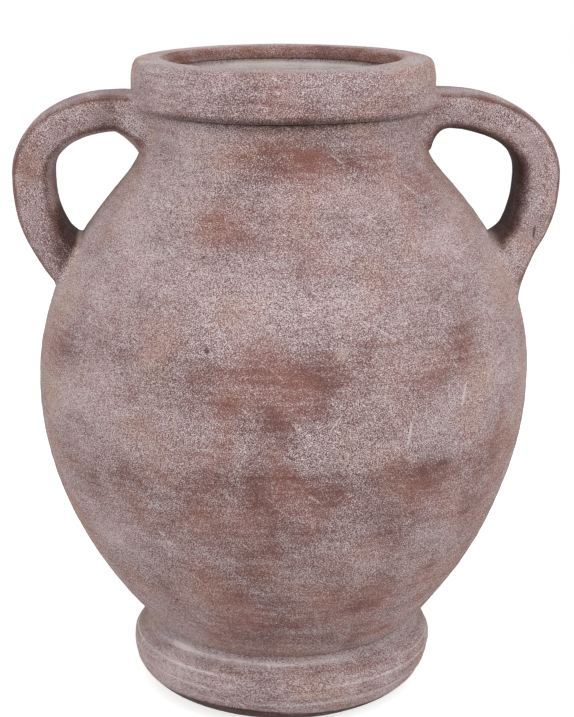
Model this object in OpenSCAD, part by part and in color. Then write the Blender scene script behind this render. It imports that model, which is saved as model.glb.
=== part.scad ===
// Two-handled terracotta amphora with a foot ring and a banded rim.
// Six clay pieces, formed apart and luted together at stepped seats before firing.
// The axis of the vessel is Z, the foot stands on z = 0 and the handles lie in the XZ plane.

/* [Vessel] */
// Height from the ground to the top of the lip
total_h = 420; // [400:1:440]
// Largest outer diameter of the belly
belly_d = 318; // [296:1:336]
// Height of the belly's widest line, where its two halves meet
belly_z = 210; // [195:1:225]
// Fullness of the belly below its widest line
belly_drop = 35; // [25:1:50]
// Wall thickness of the belly
wall = 12; // [9:0.5:15]
// Thickness of the floor
floor_t = 14; // [12:0.5:20]

/* [Shoulder and neck] */
// Outer diameter where the straight shoulder turns into the neck
shoulder_d = 212; // [204:1:220]
// Height from that turn up to the underside of the rim band
shoulder_drop = 48; // [44:1:56]
// Slope of the shoulder, from the level
shoulder_slope = 48; // [43:1:53]
// Length of the shoulder's straight pull
shoulder_pull = 88; // [70:1:100]
// Outer diameter of the neck at its waist
neck_d = 179; // [174:1:184]
// Outer diameter of the neck under the rim band
neck_top_d = 185; // [181:1:189]
// Height from the neck's waist up to the underside of the rim band
neck_drop = 15; // [10:1:20]

/* [Rim band] */
// Outer diameter of the band at its lower edge
band_d = 193; // [190:0.5:200]
// Outer diameter of the band under the lip's rounding
band_top_d = 192.5; // [189:0.5:198]
// Height of the band
band_h = 31.5; // [28:0.5:38]
// Inner diameter of the mouth
mouth_d = 147; // [138:1:152]
// Width of the lip's outer rounding, seen from above
lip_round_w = 4; // [2:0.5:10]
// Height of the lip's outer rounding
lip_round_h = 12; // [6:0.5:15]
// Rounding of the lip's inner edge
lip_in_r = 4; // [2:0.5:6]
// How far the lip's flat top falls towards its outer edge
lip_fall = 0.8; // [0:0.1:2]
// Height of the band inside the lip
lip_band_h = 8; // [6:0.5:14]
// How far that inner band stands out from the throat below it
lip_band_t = 1.2; // [0.4:0.1:2.5]
// Rounding of the band's lower edge
band_edge_r = 2; // [1:0.5:3]
// Height of the neck's spigot inside the band
spigot_h = 11; // [8:0.5:14]
// Wall thickness of the spigot
spigot_t = 8; // [6:0.5:10]

/* [Foot ring] */
// Largest outer diameter of the foot
foot_d = 200; // [190:1:210]
// Height of the foot's widest line
foot_wide_z = 32; // [26:1:36]
// Height of the crease between the foot and the belly
crease_z = 46; // [42:1:52]
// Diameter of that crease
crease_d = 167; // [160:1:172]
// Outer diameter of the flat ring that stands on the ground
tread_d = 124; // [118:1:136]
// Diameter of the hollow under the foot
hollow_d = 96; // [88:1:104]
// Rounding of the hollow's lower edge
hollow_edge = 3; // [1:0.5:5]
// Height of the foot's inner ledge, which carries the bowl
ledge_z = 18; // [15:0.5:22]
// Width of that ledge
ledge_w = 9; // [6:0.5:12]
// Depth of the bowl's boss below the ledge
boss_h = 6; // [4:0.5:10]

/* [Belly joint] */
// Height of the lower bowl's tongue inside the upper bowl
tongue_h = 8; // [5:0.5:12]
// Thickness of that tongue
tongue_t = 6; // [4:0.5:8]

/* [Handles] */
// Width of the strap, front to back
strap_w = 54; // [44:1:62]
// Thickness of the strap at mid-length
strap_t = 26.5; // [22:0.5:30]
// Thickness of the strap at its ends, before its roots spread
strap_end_t = 24; // [19:0.5:27]
// Squareness of the strap's outer edges, 2 being an ellipse
strap_square = 4; // [2.4:0.1:5]
// Squareness of the strap's edges in the finger gap
strap_square_in = 2.9; // [2.2:0.1:4]
// Depth of the hollow pressed into the strap's front and back
strap_dent = 1.2; // [0:0.1:2.5]
// Length of the lower roots' spread along the strap
low_spread_l = 21; // [14:1:30]
// How much the strap widens at both roots, front to back
root_spread_w = 10; // [4:0.5:16]

/* [Right handle] */
// How far the middle of the strap stands outside the belly's widest line
right_stand = 4; // [-3:0.5:10]
// Depth of that furthest point below the lip
right_reach_drop = 74.5; // [68:0.5:82]
// Depth of the strap's upper root below the lip
right_top_drop = 34; // [30:0.5:38]
// Rise of the strap as it leaves the band, from the level
right_rise = 10; // [0:1:18]
// Depth of the strap's lower root below the lip
right_root_drop = 149.5; // [140:0.5:156]
// Direction in which the strap comes down to the shoulder, from the level
right_fall = 61; // [56:1:72]
// Pulls of the strap's curve: at the band, above and below the reach, at the shoulder
right_pulls = [36, 33, 44, 30]; // [20:1:50]
// Spread of the upper root into the finger gap, at the neck
right_top_spread = 13; // [6:0.5:14]
// Length of that spread along the strap
right_top_spread_l = 18; // [8:1:24]
// Hollowness of that spread: 1 is straight, more is a hollow fillet
right_top_flare = 2.6; // [1:0.1:3]
// Spread of the lower root into the finger gap
right_low_spread = 3; // [1:0.5:8]
// Spread of the lower root on the outside
right_low_spread_out = 3.5; // [1:0.5:6]

/* [Left handle] */
// How far the middle of the strap stands outside the belly's widest line
left_stand = -1; // [-6:0.5:8]
// Depth of that furthest point below the lip
left_reach_drop = 72.5; // [66:0.5:80]
// Depth of the strap's upper root below the lip
left_top_drop = 35.5; // [31:0.5:39]
// Rise of the strap as it leaves the band, from the level
left_rise = 11; // [0:1:18]
// Depth of the strap's lower root below the lip
left_root_drop = 150.5; // [141:0.5:157]
// Direction in which the strap comes down to the shoulder, from the level
left_fall = 69; // [60:1:76]
// Pulls of the strap's curve: at the band, above and below the reach, at the shoulder
left_pulls = [43, 28, 47, 27]; // [20:1:50]
// Spread of the upper root into the finger gap, at the neck
left_top_spread = 12; // [6:0.5:14]
// Length of that spread along the strap
left_top_spread_l = 17; // [8:1:24]
// Hollowness of that spread: 1 is straight, more is a hollow fillet
left_top_flare = 1.2; // [1:0.1:3]
// Spread of the lower root into the finger gap
left_low_spread = 4.5; // [1:0.5:8]
// Spread of the lower root on the outside
left_low_spread_out = 1.5; // [0.5:0.5:6]

/* [Hidden] */

$fn = 96;
CLAY = "#9c7a70";
CLAY_WORN = "#8a5f55";
CLAY_PALE = "#a98e86";

// Steps along each curve of the profile, round the lip, along half a strap and round it
CURVE_STEPS = 20;
LIP_STEPS = 6;
STRAP_STEPS = 22;
STRAP_SIDES = 40;
// How much closer a strap's steps lie at its roots
ROOT_CROWDING = 1.5;

belly_r = belly_d / 2;
crease_r = crease_d / 2;
hollow_r = hollow_d / 2;
mouth_r = mouth_d / 2;
throat_r = mouth_r + lip_band_t;
band_r = band_d / 2;
band_top_r = band_top_d / 2;
neck_r = neck_d / 2;
foot_r = foot_d / 2;

band_z = total_h - band_h;
lip_z = total_h - lip_fall;
spigot_r = throat_r + spigot_t;
spigot_z = band_z + spigot_h;
neck_z = band_z - neck_drop;
shoulder_z = band_z - shoulder_drop;
boss_z = ledge_z - boss_h;
inner_floor_z = ledge_z + floor_t;

// Direction in which the belly leaves the foot, from the level
BELLY_LEAVE = 45.7;
// Share of the way that the belly's first pull covers to its widest line
BELLY_PULL = 0.533;
// Pull of the upper belly at its widest line
BELLY_CREST = 9;
// Share of the seat's height that each of its pulls takes
SEAT_PULL = 0.5;
// Share of each side of the foot's corner that its rounding takes
FOOT_ROUND = 0.61;
// The same for the foot's upper corner, and how much its crown sags towards the crease
FOOT_CROWN = 0.55;
FOOT_SAG = 0.06;
// Share of the neck's height that each pull of its hollow takes
NECK_ROUND = 0.4;
// The same for the pulls above the neck's waist and under the band
NECK_RISE = 0.6;
NECK_TOP = 0.2;

// ---- curves -------------------------------------------------------------

function bezier(p, t) =
    pow(1 - t, 3) * p[0] + 3 * pow(1 - t, 2) * t * p[1] + 3 * (1 - t) * t * t * p[2] + t * t * t * p[3];

// The points of a cubic curve; from_step = 1 leaves out the first, to join it to another curve
function curve(p, steps = CURVE_STEPS, from_step = 0) =
    [for (i = [from_step:steps]) bezier(p, i / steps)];

// Points along an arc, round or elliptical, with its two half-axes in r
function arc(centre, r, a0, a1, steps = LIP_STEPS) =
    [for (i = [0:steps]) let (a = a0 + (a1 - a0) * i / steps) centre + [r[0] * cos(a), r[1] * sin(a)]];

function reversed(p) = [for (i = [len(p) - 1:-1:0]) p[i]];

function unit(v) = v / norm(v);

function ease(t) = let (u = min(1, max(0, t))) u * u * (3 - 2 * u);

// Radius of a profile at a height, for heights that rise along the profile
function radius_at(profile, z) = lookup(z, [for (p = profile) [p[1], p[0]]]);

// ---- profile of the vessel, as [radius, height] ---------------------------

// Underside of the bowl, hidden in the foot, from its ledge out to the crease
bowl_seat = let (
    ledge = [hollow_r + ledge_w, ledge_z],
    crease = [crease_r, crease_z],
    pull = SEAT_PULL * (crease_z - ledge_z)
) curve([
    ledge,
    ledge + [pull, 0],
    crease - pull * [cos(BELLY_LEAVE), sin(BELLY_LEAVE)],
    crease
], steps = 8);

belly_lower = let (
    crease = [crease_r, crease_z],
    pull = BELLY_PULL * (belly_z - crease_z)
) curve([
    crease,
    crease + pull * [cos(BELLY_LEAVE), sin(BELLY_LEAVE)],
    [belly_r, belly_z - belly_drop],
    [belly_r, belly_z]
], from_step = 1);

belly_upper = let (
    shoulder = [shoulder_d / 2, shoulder_z]
) curve([
    [belly_r, belly_z],
    [belly_r, belly_z + BELLY_CREST],
    shoulder + shoulder_pull * [cos(shoulder_slope), -sin(shoulder_slope)],
    shoulder
], from_step = 1);

neck_hollow = let (
    shoulder = [shoulder_d / 2, shoulder_z],
    pull = NECK_ROUND * (neck_z - shoulder_z)
) curve([
    shoulder,
    shoulder + pull * [-cos(shoulder_slope), sin(shoulder_slope)],
    [neck_r, neck_z - pull],
    [neck_r, neck_z]
], steps = 8, from_step = 1);

neck_top = curve([
    [neck_r, neck_z],
    [neck_r, neck_z + NECK_RISE * neck_drop],
    [neck_top_d / 2, band_z - NECK_TOP * neck_drop],
    [neck_top_d / 2, band_z]
], steps = 6, from_step = 1);

foot_side = concat(
    curve([
        [tread_d / 2, 0],
        [tread_d / 2 + FOOT_ROUND * (foot_r - tread_d / 2), 0],
        [foot_r, foot_wide_z * (1 - FOOT_ROUND)],
        [foot_r, foot_wide_z]
    ], steps = 12),
    curve([
        [foot_r, foot_wide_z],
        [foot_r, foot_wide_z + FOOT_CROWN * (crease_z - foot_wide_z)],
        [crease_r + FOOT_CROWN * (foot_r - crease_r), crease_z - FOOT_SAG * (crease_z - foot_wide_z)],
        [crease_r, crease_z]
    ], steps = 8, from_step = 1)
);

band_side = concat(
    arc([band_r - band_edge_r, band_z + band_edge_r], [band_edge_r, band_edge_r], -90, 0, steps = 3),
    arc([band_top_r - lip_round_w, lip_z - lip_round_h], [lip_round_w, lip_round_h], 0, 90),
    arc([mouth_r + lip_in_r, total_h - lip_in_r], [lip_in_r, lip_in_r], 90, 180),
    [[mouth_r, total_h - lip_band_h], [throat_r, total_h - lip_band_h - lip_band_t]]
);

// Outside of the bowls, from the crease to the neck's waist
bowl_side = concat([[crease_r, crease_z]], belly_lower, belly_upper, neck_hollow);
bowl_outside = concat(bowl_seat, belly_lower, belly_upper, neck_hollow);

// The wall grows from the belly's widest line up to the neck, to meet the throat
function wall_at(z) = wall + (neck_r - throat_r - wall) * ease((z - belly_z) / (neck_z - belly_z));

function wall_normal(p, i) = let (
    along = unit(p[min(i + 1, len(p) - 1)] - p[max(i - 1, 0)])
) i == 0 ? [0, 1] : i == len(p) - 1 ? [-1, 0] : [-along[1], along[0]];

bowl_inside = [
    for (i = [0:len(bowl_outside) - 1])
        let (p = bowl_outside[i] + wall_at(bowl_outside[i][1]) * wall_normal(bowl_outside, i))
        [p[0], max(p[1], inner_floor_z)]
];

// ---- the belly joint ------------------------------------------------------

tongue_z = belly_z + tongue_h;
tongue_r = radius_at(bowl_inside, belly_z) + tongue_t;

function below(profile, z) = concat([for (p = profile) if (p[1] < z) p], [[radius_at(profile, z), z]]);
function above(profile, z) = concat([[radius_at(profile, z), z]], [for (p = profile) if (p[1] > z) p]);

// ---- pieces -----------------------------------------------------------------

module revolve(profile) rotate_extrude() polygon(profile);

// The ring that the vessel stands on, with its seat for the bowl
module foot_ring() color(CLAY_PALE) revolve(concat(
    [[hollow_r, hollow_edge], [hollow_r + hollow_edge, 0]],
    foot_side,
    reversed([for (i = [0:len(bowl_seat) - 2]) bowl_seat[i]]),
    [[hollow_r, ledge_z]]
));

// Lower half of the belly, with the floor, the boss in the foot and the tongue at the joint
module lower_bowl() color(CLAY) revolve(concat(
    [[0, boss_z], [hollow_r, boss_z], [hollow_r, ledge_z]],
    below(concat(bowl_seat, belly_lower), belly_z),
    [[tongue_r, belly_z], [tongue_r, tongue_z]],
    reversed(below(bowl_inside, tongue_z)),
    [[0, inner_floor_z]]
));

// Upper half of the belly, with the shoulder, the neck and the spigot in the rim band
module upper_bowl() color(CLAY_WORN) revolve(concat(
    [[tongue_r, belly_z]],
    above(concat(belly_upper, neck_hollow), belly_z),
    neck_top,
    [[spigot_r, band_z], [spigot_r, spigot_z], [throat_r, spigot_z]],
    reversed(above(bowl_inside, tongue_z)),
    [[tongue_r, tongue_z]]
));

// The banded rim, seated over the neck's spigot
module rim_collar() color(CLAY_PALE) revolve(concat(
    [[spigot_r, band_z]],
    band_side,
    [[throat_r, spigot_z], [spigot_r, spigot_z]]
));

// ---- handles ------------------------------------------------------------------

// How far the strap's ends run inside the wall before they are cut to its surface
TOP_DEPTH = 6;
LOW_DEPTH = 24;

// Share of a strap's length at each of its steps: 0 at the band, 0.5 at its reach, 1 at the shoulder
strap_shares = [
    for (i = [0:2 * STRAP_STEPS])
        i <= STRAP_STEPS
            ? pow(i / STRAP_STEPS, ROOT_CROWDING) / 2
            : 1 - pow(2 - i / STRAP_STEPS, ROOT_CROWDING) / 2
];

// Middle line of a strap in the XZ plane, from the band down to the shoulder
function strap_line(reach, reach_z, top_z, rise, root_z, fall, pulls) = let (
    top = [neck_r - TOP_DEPTH, top_z],
    out = [reach, reach_z],
    root = [radius_at(bowl_side, root_z) - LOW_DEPTH, root_z],
    upper = [top, top + pulls[0] * [cos(rise), sin(rise)], out + [0, pulls[1]], out],
    lower = [out, out - [0, pulls[2]], root + pulls[3] * [cos(fall), sin(fall)], root]
) [for (q = strap_shares) q < 0.5 ? bezier(upper, 2 * q) : bezier(lower, 2 * q - 1)];

function signed_pow(v, e) = sign(v) * pow(abs(v), e);

// Section of a strap as [across, through]; the front and back are pressed in a little.
// t_out and t_in are its thickness outside and inside the middle line.
function strap_section(w, t_out, t_in) = [
    for (i = [0:STRAP_SIDES - 1]) let (
        a = 360 * (i + 0.5) / STRAP_SIDES,
        power = 2 / (sin(a) > 0 ? strap_square : strap_square_in),
        across = signed_pow(cos(a), power),
        through = signed_pow(sin(a), power),
        dent = strap_dent * pow(1 - through * through, 2) * sign(across)
    ) [across * w / 2 - dent, through * (through > 0 ? t_out : t_in)]
];

// How far along a root's spread a point lies: 1 at the wall and inside it, 0 where the spread begins
function toward_root(distance, depth, length) = min(1, max(0, 1 - (distance - depth) / length));

// A strap's spreads are [into the gap, its length, its flare] at the top, and [into the gap, outside] below
module strap(line, top_root, low_root) {
    last = len(line) - 1;
    rings = [
        for (i = [0:last]) let (
            along = unit(line[min(i + 1, last)] - line[max(i - 1, 0)]),
            out = [-along[1], along[0]],
            top = pow(toward_root(norm(line[i] - line[0]), TOP_DEPTH, top_root[1]), top_root[2]),
            low = ease(toward_root(norm(line[i] - line[last]), LOW_DEPTH, low_spread_l)),
            t = strap_end_t + (strap_t - strap_end_t) * pow(sin(180 * strap_shares[i]), 2),
            section = strap_section(
                strap_w + root_spread_w * (top + low),
                t / 2 + low_root[1] * low,
                t / 2 + top_root[0] * top + low_root[0] * low
            )
        ) [for (s = section) let (p = line[i] + s[1] * out) [p[0], s[0], p[1]]]
    ];
    n = STRAP_SIDES;
    polyhedron(
        points = [for (ring = rings) each ring],
        faces = concat(
            [[for (k = [0:n - 1]) k]],
            [for (i = [0:last - 1]) for (k = [0:n - 1]) [i * n + k, (i + 1) * n + k, (i + 1) * n + (k + 1) % n]],
            [for (i = [0:last - 1]) for (k = [0:n - 1]) [i * n + k, (i + 1) * n + (k + 1) % n, i * n + (k + 1) % n]],
            [[for (k = [n - 1:-1:0]) last * n + k]]
        )
    );
}

// The vessel's whole outer form, which the handles are cut to
module vessel_form() revolve(concat(
    [[0, crease_z]],
    bowl_side,
    neck_top,
    [for (p = band_side) if (p[0] > neck_r) p],
    [[0, total_h]]
));

module handle(line, top_root, low_root) difference() {
    strap(line, top_root, low_root);
    vessel_form();
}

module right_handle() color(CLAY) handle(
    strap_line(
        belly_r + right_stand, total_h - right_reach_drop, total_h - right_top_drop, right_rise,
        total_h - right_root_drop, right_fall, right_pulls
    ),
    [right_top_spread, right_top_spread_l, right_top_flare],
    [right_low_spread, right_low_spread_out]
);

module left_handle() color(CLAY) mirror([1, 0, 0]) handle(
    strap_line(
        belly_r + left_stand, total_h - left_reach_drop, total_h - left_top_drop, left_rise,
        total_h - left_root_drop, left_fall, left_pulls
    ),
    [left_top_spread, left_top_spread_l, left_top_flare],
    [left_low_spread, left_low_spread_out]
);

foot_ring();
lower_bowl();
upper_bowl();
rim_collar();
left_handle();
right_handle();
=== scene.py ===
"""A whitewashed terracotta amphora: hand-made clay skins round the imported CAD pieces, in a studio."""
import math

import bpy
import numpy as np
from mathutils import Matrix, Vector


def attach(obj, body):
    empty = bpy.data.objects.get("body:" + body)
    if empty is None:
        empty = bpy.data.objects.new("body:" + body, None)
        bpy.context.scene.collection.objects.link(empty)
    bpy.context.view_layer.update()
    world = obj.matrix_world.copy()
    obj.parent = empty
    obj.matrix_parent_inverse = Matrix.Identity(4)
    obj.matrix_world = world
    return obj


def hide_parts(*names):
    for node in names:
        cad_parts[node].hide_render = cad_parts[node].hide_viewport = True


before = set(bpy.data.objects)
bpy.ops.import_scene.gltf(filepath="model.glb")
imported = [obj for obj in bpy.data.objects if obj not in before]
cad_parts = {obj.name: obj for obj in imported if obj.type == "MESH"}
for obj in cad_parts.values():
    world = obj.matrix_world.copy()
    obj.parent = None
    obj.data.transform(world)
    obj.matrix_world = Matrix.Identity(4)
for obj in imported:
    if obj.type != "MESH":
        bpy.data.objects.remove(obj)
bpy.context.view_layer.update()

# ---- sizes, in millimetres and degrees unless a name says otherwise ------------------------------

MM = 0.001
FRONT = -90.0                 # the side of the vessel that faces the camera

SEGMENTS = 560                # round the vessel
FRONT_CROWDING = 0.28         # how much closer the segments lie at the front
ROW_FINE = 1.5                # spacing of the rows on what shows outside
ROW_MOUTH = 3.0               # in the mouth and under the foot
ROW_INSIDE = 7.0              # spacing of the rows inside and in the joints
CREASE_FILL = 4.0             # clay smoothed into the crease over the foot, and how far out it reaches
CREASE_FILL_W = 10.0
CORNER = 24.0                 # a turn in a section sharper than this stays a corner
THROAT_R = 76.0               # points of the upper pieces nearer the axis than this are inside the mouth
THROAT_Z = 300.0
FOOT_INSIDE_R = 63.0          # the foot's outside lies farther out than this
LIP_HIGHLIGHT_Z = 418.0            # the painted highlight along the lip's top edge starts here
SHOULDER_LINE_Z = 295.0       # a faint turned line on the shoulder
NECK_LINE_Z = 377.6           # and one on the neck, its groove darkened at the front with painted shade
LOW_LINE_Z = 193.0            # a thin dark line below the belly
THROAT_SHADOW_LINE_Z = 411.0         # the line under the dark band inside the lip, a painted shadow under the band's step

# ---- small numeric helpers -----------------------------------------------------------------------


def smooth(x, low=0.0, high=1.0):
    t = np.clip((x - low) / (high - low), 0.0, 1.0)
    return t * t * (3.0 - 2.0 * t)


def bump(x, centre, width):
    return np.exp(-(((x - centre) / width) ** 2))


class Noise:
    """Seeded gradient noise in three dimensions, about -1 to 1."""

    def __init__(self, seed):
        rng = np.random.default_rng(seed)
        self.table = np.concatenate([rng.permutation(256)] * 2)
        g = rng.normal(size=(256, 3))
        self.gradients = g / np.linalg.norm(g, axis=1)[:, None]

    def __call__(self, p):
        p = np.asarray(p, float)
        cell = np.floor(p).astype(int)
        f = p - cell
        cell &= 255
        u = f * f * f * (f * (f * 6 - 15) + 10)
        total = 0.0
        for dx in (0, 1):
            for dy in (0, 1):
                for dz in (0, 1):
                    h = self.table[
                        self.table[self.table[(cell[:, 0] + dx) & 255] + ((cell[:, 1] + dy) & 255)]
                        + ((cell[:, 2] + dz) & 255)
                    ]
                    corner = self.gradients[h]
                    offset = f - (dx, dy, dz)
                    weight = (
                        (u[:, 0] if dx else 1 - u[:, 0])
                        * (u[:, 1] if dy else 1 - u[:, 1])
                        * (u[:, 2] if dz else 1 - u[:, 2])
                    )
                    total = total + weight * (corner * offset).sum(1)
        return 1.6 * total


lumps, ripples, skin, clouds, strokes = (Noise(seed) for seed in (11, 23, 37, 41, 59))

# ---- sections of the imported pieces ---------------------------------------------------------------


def section_of(node):
    """The (radius, height) outline of a turned CAD piece, walked round in order, in mm.
    A piece that is solid at the axis gives an open outline, from its underside to its inside."""
    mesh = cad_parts[node].data
    co = np.array([v.co for v in mesh.vertices]) / MM
    rz = np.stack([np.hypot(co[:, 0], co[:, 1]), co[:, 2]], 1)
    keys = [tuple(k) for k in np.round(rz / 0.05).astype(int)]
    names = {}
    ids = np.array([names.setdefault(k, len(names)) for k in keys])
    rings = np.array([rz[ids == i].mean(0) for i in range(len(names))])
    links = {i: set() for i in range(len(rings))}
    for e in mesh.edges:
        a, b = ids[e.vertices[0]], ids[e.vertices[1]]
        if a != b:
            links[a].add(b)
            links[b].add(a)
    ends = [i for i, n in links.items() if len(n) == 1]
    start = min(ends or links, key=lambda i: (rings[i][1], rings[i][0]))
    path, last = [start], None
    while True:
        onward = [n for n in links[path[-1]] if n != last and (n not in path)]
        if not onward:
            break
        last = path[-1]
        path.append(min(onward, key=lambda n: np.hypot(*(rings[n] - rings[last]))))
    rings = rings[path]
    nxt = np.roll(rings, -1, axis=0)
    if (rings[:, 0] * nxt[:, 1] - nxt[:, 0] * rings[:, 1]).sum() < 0:
        rings = rings[::-1]
    return rings, not ends


sections = {n: section_of(n) for n in ("foot_ring", "lower_bowl", "upper_bowl", "rim_collar")}
CREASE_Z = sections["foot_ring"][0][:, 1].max()
at_crease = sections["foot_ring"][0][:, 1] > CREASE_Z - 0.01
CREASE_R = sections["foot_ring"][0][at_crease][:, 0].min()
TOP_Z = sections["rim_collar"][0][:, 1].max()
BAND_Z = sections["rim_collar"][0][:, 1].min()
LEVELS = np.arange(CREASE_Z + 0.25, TOP_Z, 1.5)


def outside_radius(z):
    """The vessel's largest radius at a height, over all its pieces."""
    widest = 0.0
    for rings, _ in sections.values():
        nxt = np.roll(rings, -1, axis=0)
        for (r0, z0), (r1, z1) in zip(rings, nxt):
            if min(z0, z1) <= z <= max(z0, z1) and abs(z1 - z0) > 1e-6:
                widest = max(widest, r0 + (r1 - r0) * (z - z0) / (z1 - z0))
    return widest


OUTSIDE = np.array([outside_radius(z) for z in LEVELS])
step = (LEVELS > BAND_Z - 3) & (LEVELS < BAND_Z + 8)     # the band's step, sloped for the handles to run over
OUTSIDE[step] = np.minimum(
    OUTSIDE[step],
    np.interp(LEVELS[step], [BAND_Z - 3, BAND_Z + 8], [OUTSIDE[step][0], OUTSIDE[step][-1]]),
)
form = np.stack([OUTSIDE, LEVELS], 1)
along = np.gradient(form, axis=0)
form_normal = np.stack([along[:, 1], -along[:, 0]], 1)
form_normal /= np.linalg.norm(form_normal, axis=1)[:, None]


def to_vessel(p):
    """Signed distance of points from the vessel's outside, and its normal there, in mm."""
    rz = np.stack([np.hypot(p[:, 0], p[:, 1]), p[:, 2]], 1)
    a, b = form[:-1], form[1:]
    ab = b - a
    distance = np.empty(len(p))
    normal = np.empty((len(p), 2))
    for i in range(0, len(p), 6000):
        q = rz[i : i + 6000, None, :]
        t = np.clip(((q - a) * ab).sum(2) / (ab * ab).sum(1), 0, 1)
        d = np.linalg.norm(q - (a + t[..., None] * ab), axis=2)
        k = d.argmin(1)
        rows = np.arange(len(k))
        u = t[rows, k][:, None]
        n = form_normal[k] * (1 - u) + form_normal[k + 1] * u
        n /= np.linalg.norm(n, axis=1)[:, None]
        foot = a[k] + u * ab[k]
        side = ((rz[i : i + 6000] - foot) * n).sum(1)
        distance[i : i + 6000] = np.where(side < 0, -1, 1) * d[rows, k]
        normal[i : i + 6000] = n
    angle = np.arctan2(p[:, 1], p[:, 0])
    return distance, np.stack([normal[:, 0] * np.cos(angle), normal[:, 0] * np.sin(angle), normal[:, 1]], 1)


# ---- the hand-made shape: a leaning wall, lumps, throwing ridges ---------------------------------


def lean(z):
    """How far the thrown wall stands to one side of the true axis, in mm."""
    return (
        2.0 * bump(z, 332, 32)
        + 1.4 * bump(z, 262, 55)
        + 0.65 * smooth(z, 330, 400)
        - 0.5 * bump(z, 140, 25)
        + 0.7 * bump(z, 62, 22)
        - 0.9 * bump(z, 20, 14)
    )


def from_front(p):
    """Degrees round the vessel from its front, positive towards the right handle."""
    return (np.degrees(np.arctan2(p[:, 1], p[:, 0])) - FRONT + 180) % 360 - 180


def ring_coordinates(p, around, height):
    """Noise coordinates that stretch a pattern round the vessel; sizes in mm."""
    angle = np.arctan2(p[:, 1], p[:, 0])
    turn = 100.0 / around
    return np.stack([np.cos(angle) * turn, np.sin(angle) * turn, p[:, 2] / height], 1)


def vessel_relief(p):
    """How far the hand-made surface stands out from the turned one, in mm."""
    z = p[:, 2]
    relief = 0.45 * lumps(p / 80.0) + 0.16 * lumps(p / 31.0 + 7.0)
    wide, fine = ring_coordinates(p, 150, 7.0), ring_coordinates(p, 90, 3.2)
    relief += 0.17 * ripples(wide) + 0.12 * ripples(fine + 5.0)
    relief += 0.10 * skin(p / 6.0) + 0.05 * skin(p / 2.9)
    # two scratched lines round the foot, the faint turned line on the neck
    scratches = 0.6 * bump(z, FOOT_LINES[1], 1.0) + 0.5 * bump(z, FOOT_LINES[3], 1.0)
    relief -= scratches + 0.7 * bump(z, NECK_LINE_Z, 1.3)
    relief += 0.35 * ripples(ring_coordinates(p, 120, 1.9) + 3.0) * (z < CREASE_Z + 3)
    # the collar's rolled lower edge and the crease under it
    relief += 0.7 * bump(z, BAND_Z + 6, 3.0) - 0.9 * bump(z, BAND_Z + 0.5, 1.8)
    # the line on the shoulder, at the front only
    degrees = from_front(p)
    relief -= 0.30 * bump(z + 0.03 * degrees, SHOULDER_LINE_Z, 1.1) * bump(degrees, -5, 16)
    radius = np.hypot(p[:, 0], p[:, 1])
    # clay smoothed into the crease over the foot
    out = radius - CREASE_R
    relief += CREASE_FILL * np.clip(1 - out / CREASE_FILL_W, 0, 1) ** 2 * ((z < CREASE_Z + 0.1) & (z > 30))
    return relief


def strap_relief(p):
    """The same for a handle."""
    return (
        0.35 * lumps(p / 42.0 + 3.0)
        + 0.22 * lumps(p / 17.0 + 9.0)
        + 0.10 * skin(p / 6.0)
        + 0.05 * skin(p / 2.9)
    )


# ---- paint: how much whitewash is left, where the bare clay is dark, and where light and shade are painted in ---

WASH = 0.295                  # share of whitewash where nothing below changes it
# bands round the vessel: height, half-height, change of the wash
BANDS = (
    (412, 8, 0.10), (391, 4, -0.14), (378, 7, 0.10),        # collar, its crease (less wash there: painted shade), the neck
    (345, 12, 0.04), (297, 24, 0.12), (252, 14, -0.05),     # shoulder
    (220, 10, 0.06), (182, 14, -0.14), (155, 16, -0.12),    # belly
    (122, 20, -0.08), (90, 18, -0.12), (66, 9, -0.14),      # low on the belly
    (46, 2.0, 0.32), (32, 12, 0.16), (10, 12, 0.22),        # foot
)
FOOT_LINES = (44.5, 37.4, 31.5, 27.1, 20.0)     # pale scratched rings
# patches, placed in coarse steps:
# degrees from the front, height, half-width in degrees, half-height, change of the wash
PATCHES = (
    # neck and shoulder
    (-5, 370, 15, 10, -0.32), (20, 365, 20, 10, -0.22), (-35, 370, 15, 10, 0.15), (50, 350, 15, 15, -0.30),
    (-25, 330, 15, 15, -0.20), (-50, 330, 15, 15, 0.20), (35, 345, 10, 10, 0.28), (45, 320, 10, 10, 0.28),
    (-15, 300, 15, 15, 0.10), (40, 290, 10, 15, -0.20),
    # belly
    (-65, 255, 10, 20, -0.28), (-35, 260, 10, 20, -0.12), (10, 285, 15, 15, 0.12), (-5, 240, 10, 15, -0.70),
    (40, 260, 5, 15, -0.25), (50, 240, 10, 15, 0.28), (30, 215, 5, 15, 0.22), (-60, 220, 10, 15, 0.15),
    # low on the belly
    (-5, 185, 10, 15, -0.30), (35, 185, 10, 10, -0.20), (10, 205, 10, 10, 0.12), (-40, 180, 10, 20, -0.12),
    (-45, 135, 10, 20, 0.15), (-25, 115, 15, 15, -0.12), (35, 135, 5, 15, 0.15), (20, 100, 10, 15, -0.15),
    # foot and collar
    (-50, 40, 10, 5, 0.12), (-25, 400, 15, 5, -0.15), (40, 400, 10, 5, -0.10),
)


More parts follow.
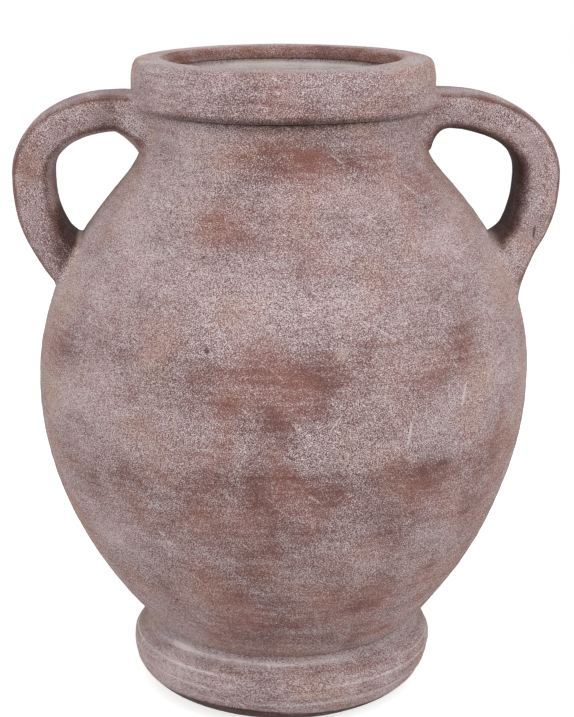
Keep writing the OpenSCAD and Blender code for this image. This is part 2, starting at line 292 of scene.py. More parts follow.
def vessel_paint(p):
    """(whitewash with painted light in it, dark stain with painted shade in it, warm bare clay) at points of
    the vessel.
    """
    z = p[:, 2]
    angle = from_front(p)
    slow = 3.5 * clouds(p / 24.0 + 1.5) + 2.5 * clouds(p / 9.0 + 4.0)
    drag = strokes(ring_coordinates(p, 70, 5.0))
    wash_and_light = np.full(len(p), WASH)
    for height, tall, change in BANDS:
        wash_and_light += change * bump(z + 0.3 * slow, height, tall)
    for at, height, wide, tall, change in PATCHES:
        away = np.hypot((angle - at) / wide, (z - height + 0.7 * slow) / tall)
        wash_and_light += change * bump(away + 0.22 * drag, 0, 1.0)
    # paler and warmer towards the sides as seen from the front: painted light along the outline
    side = smooth(np.abs(angle), 50, 85)
    wash_and_light += 0.10 * side + 0.14 * smooth(-angle, 15, 50) + 0.05 * smooth(angle, 35, 65)
    # a painted highlight along the lip's top edge
    wash_and_light += 0.35 * smooth(z, LIP_HIGHLIGHT_Z + 0.4, LIP_HIGHLIGHT_Z + 1.6)
    for height in FOOT_LINES:
        broken = smooth(strokes(ring_coordinates(p, 60, 9.0) + height), -0.3, 0.3)
        wash_and_light += 0.6 * bump(z, height, 0.7) * broken
    # painted shade in the crease under the collar's rolled lower edge, fading towards the sides
    painted_crease_shade = bump(z, BAND_Z + 2, 2.4) * (1 - smooth(np.abs(angle + 8), 35, 68))
    # painted contact shadow: a dark band round the bottom of the foot, taller at the front left, with the
    # wash taken off under it
    edge = 10.0 + 6.0 * bump(angle, -30, 36) + 0.1 * slow
    painted_contact_shadow = 1 - smooth(z, edge - 0.8, edge + 0.8)
    wash_and_light = wash_and_light * (1 - painted_contact_shadow) - 0.07 * bump(angle, -5, 32)
    inside = (np.hypot(p[:, 0], p[:, 1]) < THROAT_R) & (z > THROAT_Z)
    # inside the mouth: a dark band just inside the lip, then below its line wash painted far paler than full,
    # painted light where the mouth lies in shade
    throat_wash_and_light = 1.40 - 1.52 * smooth(z, THROAT_SHADOW_LINE_Z - 2, THROAT_SHADOW_LINE_Z + 1)
    throat_wash_and_light = throat_wash_and_light + 0.30 * smooth(z, LIP_HIGHLIGHT_Z, LIP_HIGHLIGHT_Z + 1.6) + 0.45 * drag
    wash_and_light = np.where(inside, throat_wash_and_light, wash_and_light)
    # painted shade in the neck's turned groove at the front, a thin dark line below the belly, and a painted
    # shadow under the collar
    line = 0.35 * bump(z, NECK_LINE_Z, 1.3) * bump(angle, 8, 16)
    line += 0.22 * bump(z, LOW_LINE_Z, 0.9) * bump(angle, 0, 30)
    shade = smooth(z, BAND_Z - 7, BAND_Z - 3) * (1 - smooth(z, BAND_Z, BAND_Z + 1))
    line += 0.40 * shade * bump(angle, -5, 38)
    # the stain channel: inside the mouth, the painted shadow under the band's step; outside, painted shade in
    # the collar crease, the painted contact shadow and the lines above
    stain_and_shade = np.where(inside, 0.15 * bump(z, THROAT_SHADOW_LINE_Z, 0.8), 0.85 * painted_crease_shade + painted_contact_shadow + line)
    # warmer towards the sides too, part of the painted light there
    warm = np.clip(0.5 + 0.5 * clouds(p / 33.0 + 2.0) + 0.4 * side, 0, 1)
    return np.stack([wash_and_light, stain_and_shade, warm], 1)


# ---- turned pieces -------------------------------------------------------------------------------


def runs_of(path, closed):
    """The outline cut at its sharp corners, as runs of points; a run shares its ends with its neighbours."""
    if closed:
        into, onto = path - np.roll(path, 1, 0), np.roll(path, -1, 0) - path
    else:
        into = np.vstack([path[1] - path[0], np.diff(path, axis=0)])
        onto = np.vstack([np.diff(path, axis=0), path[-1] - path[-2]])
    turn = np.degrees(np.arctan2(into[:, 0] * onto[:, 1] - into[:, 1] * onto[:, 0], (into * onto).sum(1)))
    corners = [int(i) for i in np.nonzero(np.abs(turn) > CORNER)[0]]
    if closed:
        first = corners[0]
        path = np.vstack([np.roll(path, -first, 0), path[first]])
        corners = [c - first for c in corners] + [len(path) - 1]
    else:
        corners = sorted({0, *corners, len(path) - 1})
    return [path[a : b + 1] for a, b in zip(corners, corners[1:])]


def smooth_run(run, spacing):
    """Points along a smooth curve through a run, near enough the spacing apart."""
    at = np.concatenate([[0], np.cumsum(np.linalg.norm(np.diff(run, axis=0), axis=1))])
    u = np.linspace(0, at[-1], max(2, int(math.ceil(at[-1] / spacing)) + 1))
    if len(run) < 4:
        return np.stack([np.interp(u, at, run[:, 0]), np.interp(u, at, run[:, 1])], 1)
    slope = np.gradient(run, at, axis=0)
    k = np.clip(np.searchsorted(at, u, side="right") - 1, 0, len(at) - 2)
    h = (at[k + 1] - at[k])[:, None]
    t = (u - at[k])[:, None] / h
    return (
        (1 + 2 * t) * (1 - t) ** 2 * run[k]
        + t * (1 - t) ** 2 * h * slope[k]
        + t * t * (3 - 2 * t) * run[k + 1]
        + t * t * (t - 1) * h * slope[k + 1]
    )


def shows(node, mid):
    """How fine a run is made: 1 outside, less inside the mouth, 0 in the joints and the hollow."""
    r, z = mid
    if r > outside_radius(min(max(z, CREASE_Z + 0.3), TOP_Z - 0.3)) - 3.5 and z > CREASE_Z:
        return 1.0
    if node == "foot_ring" and z < CREASE_Z and r > FOOT_INSIDE_R:
        return 1.0
    if node == "rim_collar" and r < THROAT_R:
        return 0.6
    if node == "foot_ring" and z < 4:
        return 0.5
    return 0.0


def new_mesh(name, points, faces, paint, sharp_rows=(), row_length=1):
    mesh = bpy.data.meshes.new(name)
    mesh.vertices.add(len(points))
    mesh.vertices.foreach_set("co", (points * MM).astype(np.float32).ravel())
    sizes = np.array([len(f) for f in faces])
    mesh.loops.add(int(sizes.sum()))
    mesh.loops.foreach_set("vertex_index", np.concatenate([np.asarray(f) for f in faces]).astype(np.int32))
    mesh.polygons.add(len(faces))
    mesh.polygons.foreach_set("loop_start", np.concatenate([[0], np.cumsum(sizes)[:-1]]).astype(np.int32))
    mesh.update(calc_edges=True)
    mesh.validate()
    mesh.polygons.foreach_set("use_smooth", np.ones(len(mesh.polygons), bool))
    if len(sharp_rows):
        ends = np.zeros(len(mesh.edges) * 2, np.int32)
        mesh.edges.foreach_get("vertices", ends)
        row = ends.reshape(-1, 2) // row_length
        sharp = (row[:, 0] == row[:, 1]) & np.isin(row[:, 0], sharp_rows)
        mesh.attributes.new("sharp_edge", "BOOLEAN", "EDGE").data.foreach_set("value", sharp)
    layer = mesh.color_attributes.new("paint", "FLOAT_COLOR", "POINT")
    rgba = np.concatenate([np.clip(paint, 0, (1.6, 1, 1)), np.ones((len(points), 1))], 1)
    layer.data.foreach_set("color", rgba.astype(np.float32).ravel())
    piece = bpy.data.objects.new(name, mesh)
    bpy.context.scene.collection.objects.link(piece)
    return piece


def turned_piece(name, node):
    path, closed = sections[node]
    if not closed:
        path = np.vstack([[0.5, path[0][1]], path, [0.5, path[-1][1]]])
    rows, normals, weights, corners = [], [], [], [0]
    for run in runs_of(path, closed):
        mid = run[len(run) // 2] if len(run) > 2 else run.mean(0)
        show = shows(node, mid)
        pts = smooth_run(run, ROW_FINE if show == 1 else ROW_MOUTH if show > 0 else ROW_INSIDE)
        corners.append(corners[-1] + len(pts) - 1)
        d = np.gradient(pts, axis=0)
        n = np.stack([d[:, 1], -d[:, 0]], 1)
        n /= np.linalg.norm(n, axis=1)[:, None]
        w = np.full(len(pts), show)
        if rows and show <= weights[-1][-1]:        # the finer run of two keeps their shared row
            pts, n, w = pts[1:], n[1:], w[1:]
        elif rows:
            rows[-1], normals[-1], weights[-1] = rows[-1][:-1], normals[-1][:-1], weights[-1][:-1]
        rows.append(pts)
        normals.append(n)
        weights.append(w)
    if closed:                                       # the last row is the first again
        if weights[-1][-1] > weights[0][0]:
            rows[0], normals[0], weights[0] = rows[0][1:], normals[0][1:], weights[0][1:]
        else:
            rows[-1], normals[-1], weights[-1] = rows[-1][:-1], normals[-1][:-1], weights[-1][:-1]
    rows, normals, weights = np.vstack(rows), np.vstack(normals), np.concatenate(weights)

    t = np.radians(FRONT) + np.linspace(-math.pi, math.pi, SEGMENTS, endpoint=False)
    theta = t - FRONT_CROWDING * np.sin(t - math.radians(FRONT))
    cos, sin = np.cos(theta), np.sin(theta)
    p = np.stack([np.outer(rows[:, 0], cos), np.outer(rows[:, 0], sin),
                  np.repeat(rows[:, 1:2], SEGMENTS, 1)], 2).reshape(-1, 3)
    n = np.stack([np.outer(normals[:, 0], cos), np.outer(normals[:, 0], sin),
                  np.repeat(normals[:, 1:2], SEGMENTS, 1)], 2).reshape(-1, 3)
    w = np.repeat(weights, SEGMENTS)
    paint = vessel_paint(p)
    relief = np.zeros(len(p))
    live = w > 0
    relief[live] = vessel_relief(p[live]) * np.minimum(1.0, w[live] * 1.2)
    p = p + n * relief[:, None]
    p[:, 2] = np.maximum(p[:, 2], 0.0)      # the foot stands on the floor, not in it
    p[:, 0] += lean(p[:, 2])

    ids = np.arange(len(rows) * SEGMENTS).reshape(len(rows), SEGMENTS)
    below = ids if closed else ids[:-1]
    above = np.roll(ids, -1, 0) if closed else ids[1:]
    quads = np.stack([below, np.roll(below, -1, 1), np.roll(above, -1, 1), above], 2).reshape(-1, 4)
    caps = [] if closed else [ids[0][::-1], ids[-1]]
    if closed:
        corners[-1] = 0
    sharp = [c for c in corners if 0 < c < len(rows) - 1 or (closed and c == 0)]
    return new_mesh(name, p, list(quads) + caps, paint, sharp, SEGMENTS)


# ---- handles -------------------------------------------------------------------------------------

RAILS = 168                   # points round a strap
ROWS = 210                    # rows along it between its roots
ROOT_ROWS = 12                # rows in each root's fillet
SINK = 0.8                    # how far a root's last visible row lies in the vessel's wall
NECK_R = outside_radius(373.5)
TOP_DEPTH, LOW_DEPTH = 6.0, 24.0
INWARD = 16.0                 # how far a strap's line goes on straight into the neck

# the same sizes as the CAD solids, in mm and degrees, and the radii of the roots' smoothed clay; on the
# finger-gap face, less wash gives bare clay with painted shade, more wash gives painted light, and stain
# gives painted shade; at the lower root, bare clay with painted shade
STRAPS = {
    "right_handle": dict(
        side=1, reach=163.0, reach_z=345.5, top_z=386.0, rise=10, root_z=270.5, fall=61,
        pulls=(36, 33, 44, 30), top_spread=(13.0, 18.0, 2.6), low_spread=(3.0, 3.5),
        top=(2.5, 8.0, 3.0), low=(14.0, 6.0, 2.5), wash_and_light=0.28, gap_bare_and_shading=0.4, gap_stain_and_shade=0.95,
        root_stain_and_shade=0.0,
    ),
    "left_handle": dict(
        side=-1, reach=158.0, reach_z=347.5, top_z=384.5, rise=11, root_z=269.5, fall=69,
        pulls=(43, 28, 47, 27), top_spread=(12.0, 17.0, 1.2), low_spread=(4.5, 1.5),
        top=(2.5, 8.0, 3.0), low=(5.0, 4.0, 3.0), wash_and_light=0.18, gap_bare_and_shading=-0.35, gap_stain_and_shade=0.0,
        root_stain_and_shade=0.95,
    ),
}
STRAP_W, STRAP_T, STRAP_END_T = 54.0, 26.5, 24.0
LOW_SPREAD_L = 21.0
ROOT_SPREAD_W = 10.0
SQUARE_OUT, SQUARE_IN = 4.0, 2.9
DENT = 1.2


def bezier(p, t):
    t = np.asarray(t)[:, None]
    return (1 - t) ** 3 * p[0] + 3 * (1 - t) ** 2 * t * p[1] + 3 * (1 - t) * t * t * p[2] + t**3 * p[3]


def strap_line(s, steps=400):
    rise, fall = math.radians(s["rise"]), math.radians(s["fall"])
    top = np.array([NECK_R - TOP_DEPTH, s["top_z"]])
    out = np.array([s["reach"], s["reach_z"]])
    root = np.array([outside_radius(s["root_z"]) - LOW_DEPTH, s["root_z"]])
    p = s["pulls"]
    t = np.linspace(0, 1, steps)
    first = [top, top + p[0] * np.array([math.cos(rise), math.sin(rise)]), out + [0, p[1]], out]
    second = [out, out - [0, p[2]], root + p[3] * np.array([math.cos(fall), math.sin(fall)]), root]
    line = np.vstack([bezier(first, t), bezier(second, t)[1:]])
    return line, np.linspace(0, 1, len(line))


def signed_pow(v, e):
    return np.sign(v) * np.abs(v) ** e


def even_angles():
    """Angles that space the points of a strap's section evenly."""
    a = np.linspace(0, 2 * math.pi, 4001)
    across, through = section_shape(a, STRAP_W / 2, STRAP_T / 2, STRAP_T / 2)
    length = np.concatenate([[0], np.cumsum(np.hypot(np.diff(across), np.diff(through)))])
    return np.interp(np.linspace(0, length[-1], RAILS, endpoint=False), length, a)


def section_shape(a, half_w, t_out, t_in):
    e = 2 / np.where(np.sin(a) > 0, SQUARE_OUT, SQUARE_IN)
    across, through = signed_pow(np.cos(a), e), signed_pow(np.sin(a), e)
    dent = DENT * (1 - through * through) ** 2 * np.sign(across)
    return across * half_w - dent, through * np.where(through > 0, t_out, t_in)


def strap_patches(p):
    """Worn and washed patches of a strap, about -1 to 1."""
    return clouds(p / 19.0 + 6.0) + 0.5 * clouds(p / 8.0 + 8.0)


def make_strap(name, node):
    s = STRAPS[node]
    line, share = strap_line(s)
    tangent = np.gradient(line, axis=0)
    tangent /= np.linalg.norm(tangent, axis=1)[:, None]
    length = np.concatenate([[0], np.cumsum(np.linalg.norm(np.diff(line, axis=0), axis=1))])
    top_at = np.linalg.norm(line - line[0], axis=1)
    low_at = np.linalg.norm(line - line[-1], axis=1)
    rails = even_angles()

    def surface(at, a):
        """Points of the plain strap at lengths along its line and angles round its section."""
        x, z, tx, tz, q, d_top, d_low = (
            np.interp(at, length, v)
            for v in (line[:, 0], line[:, 1], tangent[:, 0], tangent[:, 1], share, top_at, low_at)
        )
        x, z = x + np.minimum(at, 0) * tx, z + np.minimum(at, 0) * tz
        spread, spread_l, flare = s["top_spread"]
        into_gap, outside = s["low_spread"]
        top = np.clip(1 - (d_top - TOP_DEPTH) / spread_l, 0, 1) ** flare
        low = smooth(1 - (d_low - LOW_DEPTH) / LOW_SPREAD_L)
        half = (STRAP_END_T + (STRAP_T - STRAP_END_T) * np.sin(math.pi * q) ** 2) / 2
        across, through = section_shape(
            a, STRAP_W / 2 + ROOT_SPREAD_W / 2 * (top + low),
            half + outside * low, half + spread * top + into_gap * low,
        )
        return np.stack([x - through * tz, across, z + through * tx], -1)

    grid_at = np.linspace(-INWARD, length[-1], 440)
    grid = surface(np.repeat(grid_at[:, None], RAILS, 1), np.repeat(rails[None], len(grid_at), 0))
    distance = to_vessel(grid.reshape(-1, 3))[0].reshape(len(grid_at), RAILS)
    middle = len(grid_at) // 2

    lift = np.sin(rails)                              # 1 on the strap's outer face, -1 in the finger gap

    def radius(root):
        out, side, gap = s[root]
        return side + (out - side) * smooth(lift, 0.35, 0.9) + (gap - side) * smooth(-lift, 0.6, 0.98)

    def fillet(root):
        """Rows of one root, from the free strap to the vessel's wall."""
        r = radius(root)
        order = slice(0, middle) if root == "top" else slice(len(grid_at) - 1, middle, -1)
        d, at = distance[order], grid_at[order]
        rows = []
        for phi in np.linspace(0, math.pi / 2, ROOT_ROWS + 1):
            want = r * (1 - math.sin(phi)) - SINK * math.sin(phi) ** 4
            where = np.array([
                np.interp(want[k], np.maximum.accumulate(d[:, k]), at) for k in range(RAILS)
            ])
            rows.append((where, want, r * (1 - math.cos(phi))))
        return rows

    top_rows, low_rows = fillet("top"), fillet("low")
    start, end = top_rows[0][0], low_rows[0][0]
    rows = list(reversed(top_rows))
    for i in range(1, ROWS):
        rows.append((start + (end - start) * i / ROWS, None, None))
    rows += low_rows

    points = np.stack([surface(w, rails) for w, _, _ in rows])

    def normals_of(points):
        d_row = np.gradient(points, axis=0)
        d_rail = (np.roll(points, -1, 1) - np.roll(points, 1, 1)) / 2
        n = np.cross(d_rail, d_row)
        return n / np.maximum(1e-9, np.linalg.norm(n, axis=2))[..., None]

    free = normals_of(points)
    for i, (_, want, spread) in enumerate(rows):
        if want is None:
            continue
        _, wall = to_vessel(points[i])
        e = free[i] - (free[i] * wall).sum(1)[:, None] * wall
        e /= np.maximum(1e-9, np.linalg.norm(e, axis=1))[:, None]
        moved = points[i] + e * spread[:, None]
        for _ in range(3):
            d, wall = to_vessel(moved)
            moved = moved - wall * (d - want)[:, None]
        points[i] = moved

    flat = points.reshape(-1, 3)
    n = normals_of(points).reshape(-1, 3)
    d, wall = to_vessel(flat)
    flat_m = flat * np.array([s["side"], 1, 1])
    n_m, wall_m = n * np.array([s["side"], 1, 1]), wall * np.array([s["side"], 1, 1])
    own = smooth(d, 0.0, 9.0)
    relief = own * strap_relief(flat_m) + (1 - own) * vessel_relief(flat_m)
    direction = n_m * own[:, None] + wall_m * (1 - own)[:, None]
    direction /= np.linalg.norm(direction, axis=1)[:, None]
    final = flat_m + direction * relief[:, None]
    final[:, 0] += lean(final[:, 2]) * (1 - smooth(d, 3, 26))

    lifted = np.tile(lift, len(rows))
    facing = np.tile(np.abs(np.cos(rails)), len(rows))
    down = np.repeat(np.linspace(0, 1, len(rows)), RAILS)
    gap = smooth(-lifted, 0.45, 0.85)                # the face towards the fingers
    # at the left handle's lower root the finger-gap face is bare clay darkened with painted shade
    root = s["root_stain_and_shade"] * gap * smooth(down, 0.72, 0.84)
    # on the finger-gap face: bare clay with painted shade on the right handle, painted light on the left
    wash_and_light = (
        # the outer face is painted paler, a painted highlight
        s["wash_and_light"] + 0.14 * smooth(facing, 0.5, 0.9) + 0.30 * smooth(lifted, 0.84, 0.98)
        - 0.32 * bump(lifted, 0.66, 0.14) - 0.26 * bump(lifted, -0.52, 0.16)
        + 0.22 * strap_patches(flat_m) - s["gap_bare_and_shading"] * gap - root
    )
    stain_and_shade = gap * s["gap_stain_and_shade"] + root
    stain_and_shade += 0.30 * bump(lifted, 0.66, 0.10) + 0.30 * bump(lifted, -0.52, 0.14)
    # the lower root's inner corner painted dark, bare clay with painted shade, and a grey patch near the
    # upper one
    corner = s["root_stain_and_shade"] * bump(flat_m[:, 0], -140, 9) * bump(flat_m[:, 2], 300, 13)
    corner = corner * smooth(-lifted, -0.3, 0.2)
    wash_and_light = wash_and_light - 0.6 * corner
    stain_and_shade += corner + 0.40 * bump(flat_m[:, 0], -110, 6) * (flat_m[:, 2] > 370) * (1 - gap)
    # near the wall a strap takes the vessel's paint
    own_paint = np.stack([wash_and_light, stain_and_shade, 0.5 + 0.5 * clouds(flat_m / 21.0)], 1)
    blend = smooth(d, 0.0, 6.0)[:, None]
    paint = own_paint * blend + vessel_paint(flat_m) * (1 - blend)

    # both ends go a little way into the wall and are closed there
    ids = np.arange(len(final)).reshape(len(rows), RAILS)
    inner = []
    for row in (0, len(rows) - 1):
        k = ids[row]
        inner.append(final[k] - 2.5 * wall_m[k])
    all_points = np.vstack([final, *inner])
    all_paint = np.vstack([paint, paint[ids[0]], paint[ids[-1]]])
    first = len(final) + np.arange(RAILS)
    last = first + RAILS
    ids = np.vstack([first, ids, last])
    a, b = ids[:-1], ids[1:]
    quads = np.stack([a, np.roll(a, -1, 1), np.roll(b, -1, 1), b], 2).reshape(-1, 4)
    caps = [ids[0][::-1], ids[-1]]
    if s["side"] < 0:
        quads, caps = quads[:, ::-1], [c[::-1] for c in caps]
    return new_mesh(name, all_points, list(quads) + caps, all_paint)


# ---- materials -----------------------------------------------------------------------------------


def srgb(r, g, b):
    """A linear colour with full alpha, from 0-255 sRGB values that are all above 10."""
    return tuple(((c / 255 + 0.055) / 1.055) ** 2.4 for c in (r, g, b)) + (1.0,)


class Graph:
    """Short calls for a material's nodes; an input is a number, a tuple or another node's output."""

    def __init__(self, tree):
        self.tree = tree

    def node(self, kind, inputs=None, **settings):
        n = self.tree.nodes.new(kind)
        for key, value in settings.items():
            setattr(n, key, value)
        for key, value in (inputs or {}).items():
            if isinstance(value, bpy.types.NodeSocket):
                self.tree.links.new(value, n.inputs[key])
            else:
                n.inputs[key].default_value = value
        return n

    def math(self, operation, a, b=0.0, c=0.0):
        return self.node("ShaderNodeMath", {0: a, 1: b, 2: c}, operation=operation).outputs[0]

    def add(self, *terms):
        total = terms[0]
        for t in terms[1:]:
            total = self.math("ADD", total, t)
        return total

    def swing(self, value, amount):
        """(value - 0.5) * amount"""
        return self.math("MULTIPLY_ADD", value, amount, -0.5 * amount)

    def stretch(self, vector, x, y, z):
        n = self.node("ShaderNodeVectorMath", {0: vector, 1: (x, y, z)}, operation="MULTIPLY")
        return n.outputs[0]

    def dot(self, vector, direction):
        inputs = {0: vector, 1: tuple(direction)}
        return self.node("ShaderNodeVectorMath", inputs, operation="DOT_PRODUCT").outputs["Value"]

    def noise(self, vector, size, detail=2.0, rough=0.5, distortion=0.0):
        """Noise whose features are about size millimetres."""
        n = self.node("ShaderNodeTexNoise", {
            "Vector": vector, "Scale": 1.0 / size, "Detail": detail,
            "Roughness": rough, "Distortion": distortion,
        })
        return n.outputs["Fac"]

    def ramp(self, value, low, high, out_low=0.0, out_high=1.0, kind="SMOOTHSTEP"):
        n = self.node("ShaderNodeMapRange", {
            "Value": value, "From Min": low, "From Max": high, "To Min": out_low, "To Max": out_high,
        }, interpolation_type=kind)
        return n.outputs[0]

    def mix(self, factor, a, b):
        return self.node("ShaderNodeMix", {"Factor": factor, 6: a, 7: b}, data_type="RGBA").outputs[2]


CLAY_DARK = srgb(104, 67, 61)
CLAY_RED = srgb(124, 79, 70)
LIME = srgb(208, 197, 200)
LIME_WARM = srgb(206, 191, 186)
BEIGE = srgb(186, 167, 152)
# paler than the lime: painted light inside the mouth and on the lip's edge, fresh wash on the foot's lines
PALE_WASH_AND_LIGHT = srgb(238, 229, 224)
# the dark of stains, also used for painted shade and painted shadow
STAIN_AND_SHADE = srgb(62, 40, 35)
BRUSH_SLANT = -38.0           # degrees

# single marks: kind, degrees from the front, height, half-length, half-width, lean from the upright
MARKS = {
    "pit": ("dark", -20, 266, 2.0, 1.4, 20),
    "small_pit": ("dark", -25, 315, 1.2, 0.9, 60),
    "low_pit": ("dark", -35, 95, 1.5, 1.0, 70),
    "upper_ring": ("beige", 10, 265, 4.0, 3.0, 30),
    "lower_ring": ("beige", 10, 205, 4.0, 3.0, 60),
    "nick_in_ring": ("dark", 10, 205, 2.0, 0.5, -20),
    "pale_drip": ("beige", -26, 223, 9.0, 1.4, 2),
    "long_stroke": ("pale", 40, 232, 8.0, 1.0, 20),
    "short_stroke": ("pale", 25, 215, 8.0, 1.0, 10),
    "scratch": ("pale", 8, 225, 6.0, 0.4, 35),
    "slit_under_collar": ("dark", 62, 382, 4.0, 0.7, -15),
    "slit_by_left_root": ("dark", -75, 380, 2.0, 0.8, 45),
    "chip_in_lip": ("beige", 40, 417, 1.6, 2.6, 0),
}


def mark_place(degrees, height, lean_over):
    """Where a mark lies on the vessel, in mm, and the directions along and across it."""
    turn = math.radians(FRONT + degrees)
    radius = float(np.interp(height, LEVELS, OUTSIDE))
    steep = float(np.interp(height + 2, LEVELS, OUTSIDE) - np.interp(height - 2, LEVELS, OUTSIDE)) / 4
    out = np.array([math.cos(turn), math.sin(turn), 0])
    round_it = np.array([-math.sin(turn), math.cos(turn), 0])
    up = out * steep + np.array([0, 0, 1])
    up /= np.linalg.norm(up)
    tilt = math.radians(lean_over)
    centre = out * radius + np.array([lean(height), 0, height])
    along = up * math.cos(tilt) + round_it * math.sin(tilt)
    return centre, along, round_it * math.cos(tilt) - up * math.sin(tilt)


def mark_masks(g, mm, rough, places):
    """A mask for each kind of mark, 1 inside it with a ragged edge."""
    masks = {"dark": 0.0, "pale": 0.0, "beige": 0.0}
    for kind, (centre, along, across), half_length, half_width in places:
        off = g.node("ShaderNodeVectorMath", {0: mm, 1: tuple(centre)}, operation="SUBTRACT").outputs[0]
        u = g.dot(off, along / half_length)
        v = g.dot(off, across / half_width)
        away = g.math("ADD", g.math("ADD", g.math("MULTIPLY", u, u), g.math("MULTIPLY", v, v)), rough)
        masks[kind] = g.math("MAXIMUM", masks[kind], g.ramp(away, 1.3, 0.6))
    return masks


def clay_material(name, streaks=0.65, streak_size=2.6, clouding=0.75, dusting=5.4, places=()):
    """Bare clay under whitewash, clouded, streaked and dusted; the paint attribute says how much is left,
    with painted light and painted shade in it.
    """
    material = bpy.data.materials.new(name)
    material.use_nodes = True
    tree = material.node_tree
    shader = tree.nodes["Principled BSDF"]
    g = Graph(tree)
    at = g.node("ShaderNodeTexCoord").outputs["Object"]
    mm = g.node("ShaderNodeVectorMath", {0: at, "Scale": 1.0 / MM}, operation="SCALE").outputs[0]
    paint = g.node("ShaderNodeVertexColor", layer_name="paint").outputs["Color"]
    channel = g.node("ShaderNodeSeparateColor", {0: paint})
    wash_and_light, stain_and_shade, warm = (channel.outputs[i] for i in range(3))
    slant = {"Vector": mm, "Axis": (0, 1, 0), "Angle": math.radians(BRUSH_SLANT)}
    slanted = g.node("ShaderNodeVectorRotate", slant).outputs[0]

    cloud = g.noise(mm, 44, 4.0, 0.5, 0.7)
    patch = g.noise(mm, 15, 3.0, 0.5, 0.5)
    streak = g.noise(g.stretch(mm, 0.08, 0.08, 1.0), streak_size, 4.0, 0.58)
    brush = g.noise(g.stretch(slanted, 0.25, 0.8, 1.0), 7.0, 3.0, 0.5, 0.5)
    mottle = g.noise(mm, 3.2, 2.0, 0.6)
    speck = g.noise(mm, 0.95, 1.0, 0.7)
    dust = g.noise(mm, 0.47, 0.0)
    dusty = g.ramp(g.noise(mm, 20, 2.0), 0.35, 0.65, 0.65, 1.15, "LINEAR")
    hairs = g.noise(g.stretch(slanted, 0.035, 0.6, 1.0), 1.1, 1.0, 0.5)
    scratch = g.math("MULTIPLY", g.ramp(hairs, 0.62, 0.72), g.ramp(brush, 0.5, 0.62))

    wash_and_light_level = g.add(
        wash_and_light, g.swing(cloud, clouding), g.swing(patch, 0.30),
        g.swing(streak, streaks), g.swing(brush, 0.30),
    )
    grain = g.math("ADD", g.swing(speck, 0.12), g.swing(dust, dusting))
    less_where_bare = g.ramp(wash_and_light_level, -0.2, 0.35, 0.55, 1.0)
    grain = g.math("MULTIPLY", grain, g.math("MULTIPLY", dusty, less_where_bare))
    amount = g.add(wash_and_light_level, grain, g.swing(mottle, 0.12), g.math("MULTIPLY", scratch, 0.6))
    cover = g.ramp(amount, 0.03, 1.13, kind="LINEAR")

    hue = g.noise(mm, 26, 2.0)
    clay = g.mix(g.ramp(g.add(g.swing(hue, 1.6), warm), 0.1, 0.9), CLAY_DARK, CLAY_RED)
    warmth = g.add(g.swing(g.noise(mm, 34, 2.0), 1.8), warm)
    lime = g.mix(g.ramp(warmth, 0.55, 1.0), LIME, LIME_WARM)
    colour = g.mix(cover, clay, lime)
    # past full wash the colour goes paler still: painted light inside the mouth and on the lip's edge, fresh
    # wash on the foot's lines
    colour = g.mix(g.ramp(wash_and_light_level, 1.0, 1.8, kind="LINEAR"), colour, PALE_WASH_AND_LIGHT)
    # towards the stain colour: real stains, and painted shade and shadow
    stain_and_shade_share = g.math("MULTIPLY", stain_and_shade, g.ramp(amount, 0.9, 0.1, 0.55, 1.0, "LINEAR"))
    colour = g.mix(stain_and_shade_share, colour, STAIN_AND_SHADE)
    height = g.add(
        g.math("MULTIPLY", speck, 0.16), g.math("MULTIPLY", dust, 0.14),
        g.math("MULTIPLY", mottle, 0.22), g.math("MULTIPLY", streak, 0.22),
    )
    if places:
        ragged = g.swing(g.noise(mm, 1.4, 1.0), 2.2)
        masks = mark_masks(g, mm, ragged, places)
        colour = g.mix(g.math("MULTIPLY", masks["beige"], 0.40), colour, BEIGE)
        colour = g.mix(g.math("MULTIPLY", masks["pale"], 0.6), colour, LIME)
        colour = g.mix(g.math("MULTIPLY", masks["dark"], 0.75), colour, STAIN_AND_SHADE)
        height = g.math("SUBTRACT", height, g.math("MULTIPLY", masks["dark"], 1.2))
    tree.links.new(colour, shader.inputs["Base Color"])
    bump_node = g.node("ShaderNodeBump", {"Strength": 0.55, "Distance": 0.001, "Height": height})
    tree.links.new(bump_node.outputs[0], shader.inputs["Normal"])
    tree.links.new(g.ramp(cover, 0, 1, 0.84, 0.95, "LINEAR"), shader.inputs["Roughness"])
    shader.inputs["Specular IOR Level"].default_value = 0.25
    return material


def places_between(low, high):
    """The places of the marks whose height is in a range."""
    return [
        (kind, mark_place(degrees, height, over), half_length, half_width)
        for kind, degrees, height, half_length, half_width, over in MARKS.values()
        if low <= height < high
    ]


# a slit in the right handle: its centre in mm, and the directions along and across it
SLIT = (np.array([159.0, -27.0, 311.0]), np.array([0.1, 0, 1.0]), np.array([1.0, 0, -0.1]))
SLIT_HALF_LENGTH, SLIT_HALF_WIDTH = 4.0, 0.8
materials = {
    "foot_clay": clay_material("foot_clay", streaks=1.2, streak_size=1.9, clouding=0.6, dusting=4.8),
    "body_clay": clay_material("body_clay", places=places_between(CREASE_Z, BAND_Z)),
    "rim_clay": clay_material(
        "rim_clay", streaks=1.0, streak_size=2.4, clouding=0.7, dusting=5.4,
        places=places_between(BAND_Z, TOP_Z + 1),
    ),
    "handle_clay": clay_material(
        "handle_clay", streaks=0.3, clouding=0.8, dusting=4.4,
        places=[("dark", SLIT, SLIT_HALF_LENGTH, SLIT_HALF_WIDTH)],
    ),
}

# ---- the pieces, each in place of its CAD solid --------------------------------------------------

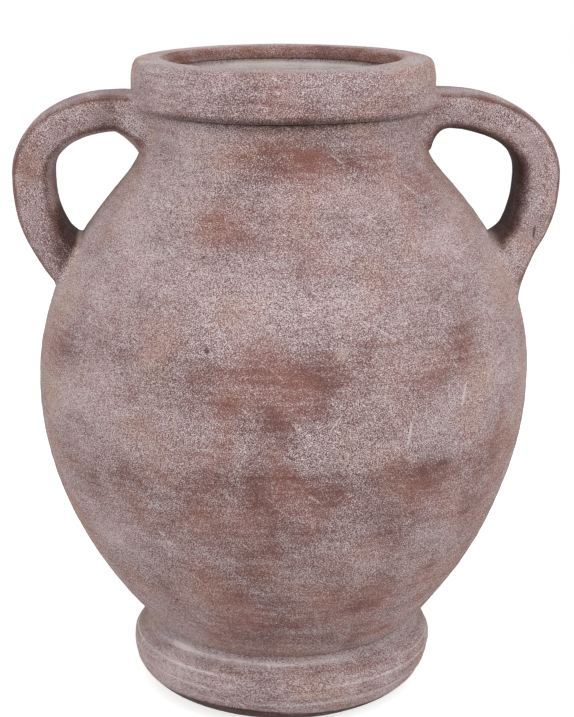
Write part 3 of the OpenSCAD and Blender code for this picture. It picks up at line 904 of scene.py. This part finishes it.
PIECES = (
    ("foot_skin", "foot_ring", "foot_clay", turned_piece),
    ("lower_belly_skin", "lower_bowl", "body_clay", turned_piece),
    ("upper_belly_skin", "upper_bowl", "body_clay", turned_piece),
    ("rim_skin", "rim_collar", "rim_clay", turned_piece),
    ("left_handle_skin", "left_handle", "handle_clay", make_strap),
    ("right_handle_skin", "right_handle", "handle_clay", make_strap),
)
for name, node, slot, make in PIECES:
    piece = make(name, node)
    piece.data.materials.append(materials[slot])
    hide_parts(node)
    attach(piece, "root")

# ---- floor, light and camera ---------------------------------------------------------------------


def direct_rays(g):
    """1 for rays that show a thing itself: straight, mirrored or through glass."""
    path = g.node("ShaderNodeLightPath")
    seen = g.math("MAXIMUM", path.outputs["Is Camera Ray"], path.outputs["Is Glossy Ray"])
    return g.math("MAXIMUM", seen, path.outputs["Is Transmission Ray"])


FLOOR_HALF = 4.0              # metres
FLOOR_COLOUR = srgb(238, 236, 234)
FLOOR_GLOW, GLOW_SHARE = 5.9, 0.12     # whitens the floor as it is seen; it still takes the shadow
WORLD_LIGHT = 0.42
WHITE = (1, 1, 1, 1)


def flat_floor():
    """A plain pale floor at height 0."""
    h = FLOOR_HALF
    mesh = bpy.data.meshes.new("floor")
    mesh.from_pydata([(-h, -h, 0), (h, -h, 0), (h, h, 0), (-h, h, 0)], [], [(0, 1, 2, 3)])
    floor = bpy.data.objects.new("floor", mesh)
    bpy.context.scene.collection.objects.link(floor)
    material = bpy.data.materials.new("pale_floor")
    material.use_nodes = True
    tree = material.node_tree
    tree.nodes.clear()
    g = Graph(tree)
    matt = g.node("ShaderNodeBsdfDiffuse", {"Color": FLOOR_COLOUR}).outputs[0]
    white = g.node("ShaderNodeEmission", {"Color": WHITE, "Strength": FLOOR_GLOW}).outputs[0]
    seen = g.math("MULTIPLY", direct_rays(g), GLOW_SHARE)
    both = g.node("ShaderNodeMixShader", {0: seen, 1: matt, 2: white}).outputs[0]
    g.node("ShaderNodeOutputMaterial", {"Surface": both})
    floor.data.materials.append(material)


flat_floor()


def panel(name, at, target, size, power):
    """A soft rectangular light; places and sizes in metres, power in watts."""
    light = bpy.data.lights.new(name, "AREA")
    light.shape = "RECTANGLE"
    light.size, light.size_y = size
    light.energy = power
    lamp = bpy.data.objects.new(name, light)
    lamp.location = at
    from_to = Vector(target) - Vector(at)
    lamp.rotation_euler = from_to.to_track_quat("-Z", "Y").to_euler()
    bpy.context.scene.collection.objects.link(lamp)


panel("left_panel", (-1.7, -1.0, 0.9), (0, 0, 0.22), (0.9, 1.5), 11)
panel("right_panel", (1.7, -1.1, 0.9), (0, 0, 0.22), (0.9, 1.5), 14)
panel("front_panel", (0.2, -1.9, 1.8), (0, 0, 0.25), (1.4, 1.0), 9)
panel("top_panel", (0, -0.8, 1.9), (0, 0, 0.2), (1.6, 1.2), 11)

world = bpy.data.worlds.new("studio")
world.use_nodes = True
world.node_tree.nodes.clear()
g = Graph(world.node_tree)
soft = g.node("ShaderNodeBackground", {"Color": WHITE, "Strength": WORLD_LIGHT}).outputs[0]
white = g.node("ShaderNodeBackground", {"Color": WHITE, "Strength": 1.0}).outputs[0]
mixed = g.node("ShaderNodeMixShader", {0: direct_rays(g), 1: soft, 2: white}).outputs[0]
g.node("ShaderNodeOutputWorld", {"Surface": mixed})
bpy.context.scene.world = world

# the camera, fitted to the outline: metres, degrees, millimetres, and a share of the picture's width
CAMERA_AT = (-0.05236, -1.15297, 0.53378)
CAMERA_TILT, CAMERA_TURN = 74.91, -2.6
SENSOR, LENS, SHIFT = 36.0, 91.09, 0.0064

camera = bpy.data.objects.new("camera", bpy.data.cameras.new("camera"))
camera.location = CAMERA_AT
camera.rotation_euler = (math.radians(CAMERA_TILT), 0, math.radians(CAMERA_TURN))
camera.data.sensor_width = SENSOR
camera.data.lens = LENS
camera.data.shift_x = SHIFT
bpy.context.scene.collection.objects.link(camera)
bpy.context.scene.camera = camera
bpy.context.scene.view_settings.view_transform = "Standard"
